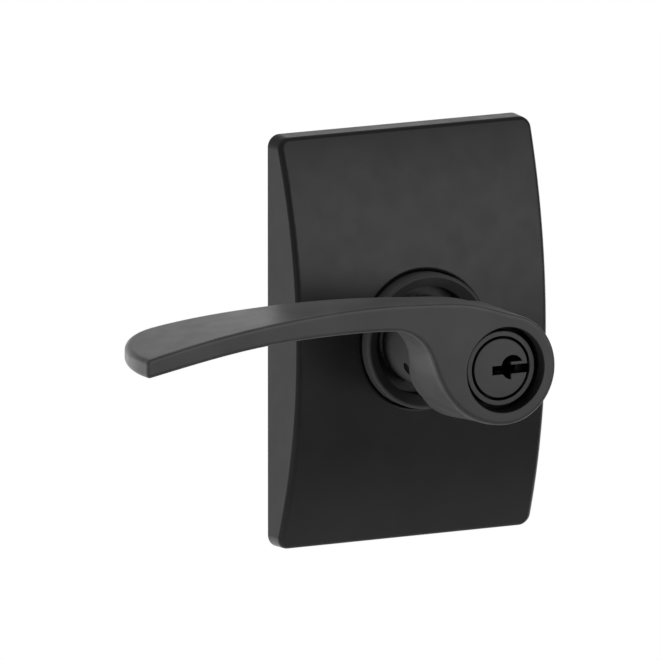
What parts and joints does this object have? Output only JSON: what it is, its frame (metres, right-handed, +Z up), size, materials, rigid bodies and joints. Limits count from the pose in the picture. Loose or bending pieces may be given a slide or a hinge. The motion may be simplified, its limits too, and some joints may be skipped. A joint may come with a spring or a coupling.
{
  "type": "lever handle lockset",
  "caption": "Keyed lever trim for the outside of a door: a sprung lever with a pin-tumbler cylinder in its head, on a tall curved rectangular rose.",
  "frame": {"origin": "where the lever's axis meets the outside face of the door, at the middle of the rose", "axes": "+Z up, -Y outward from the door toward the person, +Y into the door, the lever's arm points along -X"},
  "size_m": [0.1352, 0.1058, 0.1048],
  "materials": {
    "matte_black_finish": "matte black powder coat",
    "black_lock_face": "satin black plating",
    "zinc_plated_steel": "zinc plated",
    "black_zinc_plate": "black zinc plate, dull",
    "spring_steel": "oiled spring steel",
    "black_acetal": "moulded, smooth",
    "brass": "machined"
  },
  "bodies": {
    "trim": {"rose": "matte_black_finish", "rose_collar": "matte_black_finish", "mounting_plate": "zinc_plated_steel", "pilot_ring": "zinc_plated_steel", "mounting_posts": "zinc_plated_steel", "stop_pins": "zinc_plated_steel", "spring_cage": "black_zinc_plate", "cage_screws": "zinc_plated_steel", "spindle_bushing": "black_acetal", "return_spring": "spring_steel"},
    "lever": {"lever": "matte_black_finish", "spindle_tube": "zinc_plated_steel", "drive_cam": "zinc_plated_steel", "cam_clip": "spring_steel", "spring_washer": "spring_steel", "latch_shaft": "zinc_plated_steel", "catch_spring": "spring_steel", "cylinder_housing": "black_lock_face", "cylinder_clip": "spring_steel", "pin_cover": "brass", "driver_pins": "brass", "pin_springs": "spring_steel"},
    "plug": {"plug": "black_lock_face", "key_pins": "brass", "tailpiece": "brass", "plug_cap": "brass"},
    "catch": {"lever_catch": "black_lock_face"}
  },
  "joints": [
    {"name": "lever_turn", "type": "hinge", "parent": "trim", "child": "lever", "pos_m": [0, 0, 0], "axis": [0, -1, 0], "range_deg": [-45, 45], "stiffness_Nm_per_rad": 1.3, "springref_deg": -2.58, "deforming": ["return_spring"]},
    {"name": "plug_turn", "type": "hinge", "parent": "lever", "child": "plug", "pos_m": [0, -0.045, 0], "axis": [0, -1, 0], "range_deg": [-90, 90]},
    {"name": "catch_press", "type": "slide", "parent": "lever", "child": "catch", "axis": [0.9063, 0, 0.4226], "range_m": [0, 0.0021], "stiffness_N_per_m": 400, "springref_m": -0.002, "deforming": ["catch_spring"]}
  ]
}
